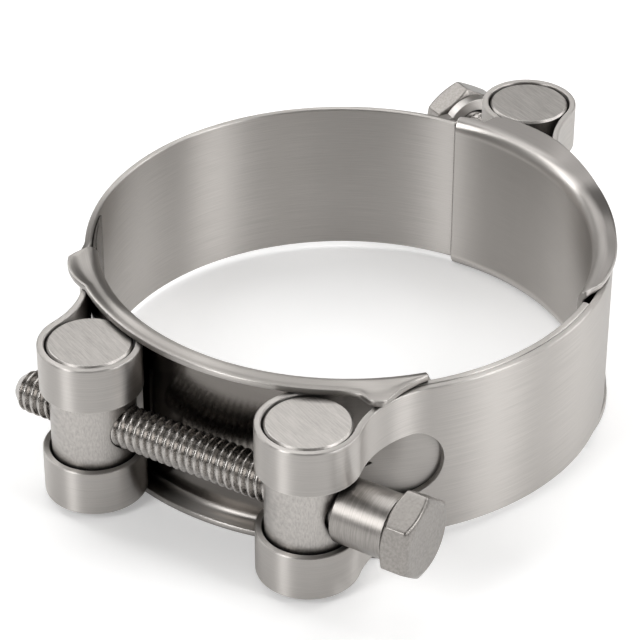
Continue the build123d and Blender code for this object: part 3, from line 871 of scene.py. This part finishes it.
def head_rings():
    """Rings of points from the seat to the top: flats between two chamfers, every edge a little soft."""
    outline = hexagon()

    def face_ring(r, z):
        return [(x * min(1, r / math.hypot(x, y)), y * min(1, r / math.hypot(x, y)), z) for x, y in outline]

    def side_ring(inset, rise):
        ring = []
        for x, y in outline:
            far = math.hypot(x, y)
            drop = max(0.0, far - inset - head_face_r) * head_slope
            ring.append((x * (far - inset) / far, y * (far - inset) / far, drop + rise))
        return ring

    lower = [face_ring(head_face_r - head_keep, 0), face_ring(head_face_r - head_soft, 0),
             side_ring(head_soft, 0), side_ring(0, head_soft), side_ring(0, head_keep)]
    upper = [[(x, y, head_h - z) for x, y, z in ring] for ring in reversed(lower)]
    return lower + upper


print("points round the head:", len(hexagon()))

# %% [markdown]
# ## Placing the screws
# A screw is built along Z with its seat at zero, then turned and moved to its seat on the clamp. How far
# the head has been turned shows in the picture, so it is a value of its own for each screw. The thread's
# faces get the burnished metal and the rest the blasted one.

# %% Build the threaded screws
front_turned_deg, rear_turned_deg = 21, 30
front_plain, rear_plain = 14 * mm, 2 * mm
rear_seat_dist, rear_point_dist = 16.65 * mm, 7.4 * mm


def join_rings(mesh, rings):
    """Faces between rings of points that have the same count, with both ends closed."""
    made = [[mesh.verts.new(p) for p in ring] for ring in rings]
    for one, two in zip(made, made[1:]):
        for k in range(len(one)):
            after = (k + 1) % len(one)
            mesh.faces.new((one[k], one[after], two[after], two[k]))
    mesh.faces.new(list(reversed(made[0])))
    mesh.faces.new(made[-1])


def make_screw(name, node, seat, direction, turned_deg, reach, plain):
    """A screw with its seat in the plane under its head: reach is its length, plain its smooth part there."""
    mesh = bmesh.new()
    join_rings(mesh, shank_rings(reach, plain))
    for face in mesh.faces:
        face.material_index = 1 if face.calc_center_median().z < -plain else 0
    join_rings(mesh, head_rings())
    z_axis = Vector(direction).normalized()
    y_axis = Vector((0, 0, 1))
    place = Matrix((y_axis.cross(z_axis), y_axis, z_axis)).transposed().to_4x4()
    place.translation = Vector(seat)
    mesh.transform(place @ Matrix.Rotation(math.radians(turned_deg), 4, "Z"))
    piece = new_piece(name, mesh, screw_metal, node, [node], sharp_deg=screw_sharp_deg)
    piece.data.materials.append(thread_metal)
    print(name, "length, mm:", round((reach + head_h) / mm, 1))


front_low, front_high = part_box("front_bolt")
front_seat = (front_high.x - head_h, (front_low.y + front_high.y) / 2, 0)
make_screw("front_screw", "front_bolt", front_seat, (1, 0, 0), front_turned_deg, front_seat[0] - front_low.x,
           front_plain)
rear_joint = next(j for j in frame["joints"] if j["name"] == "rear_turn")
rear_axis = Vector(rear_joint["axis"])
rear_seat = Vector(rear_joint["pos_m"]) + rear_seat_dist * rear_axis
make_screw("rear_screw", "rear_bolt", rear_seat, rear_axis, rear_turned_deg, rear_seat_dist + rear_point_dist,
           rear_plain)

# %% [markdown]
# ## The floor and the background
# Bare steel shows mostly what stands round it. A product is therefore photographed on a pale sweep of
# paper, which the steel mirrors from below. The paper's white comes partly from a glow that only the
# camera and the mirroring metal see, so it is white without more light on the clamp, and it still takes
# the clamp's shadow.

# %% Lay the floor
floor_half = 3000 * mm
paper_rough, paper_glow = 0.9, 0.28
floor_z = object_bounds()[0][2]
floor_data = bpy.data.meshes.new("floor")
corners = [(x * floor_half, y * floor_half, floor_z) for x, y in ((-1, -1), (1, -1), (1, 1), (-1, 1))]
floor_data.from_pydata(corners, [], [(0, 1, 2, 3)])
floor = bpy.data.objects.new("floor", floor_data)
scene.collection.objects.link(floor)

# Paper: matt, so that the clamp's shadow on it is soft and nothing is mirrored in it.
paper = bpy.data.materials.new("white paper")
paper.use_nodes = True
tree = paper.node_tree
shader = tree.nodes["Principled BSDF"]
shader.inputs["Base Color"].default_value = colour("#F2F2F2")
shader.inputs["Roughness"].default_value = paper_rough
floor_data.materials.append(paper)
ray = add(tree, "ShaderNodeLightPath").outputs
seen = add(tree, "ShaderNodeMath", {"operation": "ADD"}, i0=ray["Is Camera Ray"], i1=ray["Is Glossy Ray"])
seen = add(tree, "ShaderNodeMath", {"operation": "ADD"}, i0=seen.outputs[0], i1=ray["Is Transmission Ray"])
share = add(tree, "ShaderNodeMath", {"operation": "MULTIPLY"}, i0=seen.outputs[0], i1=paper_glow)
glow = add(tree, "ShaderNodeEmission", Color=colour("#FFFFFF"), Strength=share.outputs[0])
both = add(tree, "ShaderNodeAddShader", i0=shader.outputs[0], i1=glow.outputs[0])
tree.links.new(both.outputs[0], tree.nodes["Material Output"].inputs["Surface"])
print("floor at, mm:", round(floor_z / mm, 2))

# %% [markdown]
# ## The light
# Five soft lamps stand round the clamp, and a dim warm room lies between them. An upright wall mirrors
# what stands beside the camera, at twice its own turn from the camera's heading, so the lamps to the left
# and right give the loops and the ring their upright bright bands and the room between them the dark ones.
# The lamp behind lights the tops.

# %% Light the studio
room_strength = 0.24
lamp_distance = 900 * mm
world = bpy.data.worlds.new("studio")
scene.world = world
world.use_nodes = True
background = world.node_tree.nodes["Background"]
background.inputs["Color"].default_value = colour("#FFFDFA")
background.inputs["Strength"].default_value = room_strength


def softbox(name, beside, height, size, glow):
    """A rectangular area lamp aimed at the clamp: beside and height are degrees from the camera's heading and
    the horizon, size is in metres and glow is how bright its face looks."""
    turn = az + math.radians(beside)
    rise = math.radians(height)
    way = Vector((math.sin(turn) * math.cos(rise), -math.cos(turn) * math.cos(rise), math.sin(rise)))
    lamp = bpy.data.lights.new(name, "AREA")
    lamp.shape = "RECTANGLE"
    lamp.size, lamp.size_y = size
    lamp.energy = glow * math.pi * size[0] * size[1]
    holder = bpy.data.objects.new(name, lamp)
    holder.location = way * lamp_distance
    holder.rotation_euler = (-way).to_track_quat("-Z", "Y").to_euler()
    scene.collection.objects.link(holder)
    print(name, "energy, W:", round(lamp.energy, 2))


softbox("left_box", -50, 34, (0.26, 0.50), 7.0)
softbox("right_box", 64, 34, (0.30, 0.50), 6.4)
softbox("side_box", 112, 34, (0.40, 0.40), 4.2)
softbox("far_box", -124, 34, (0.20, 0.45), 5.0)
softbox("back_box", -168, 58, (0.80, 0.62), 2.2)
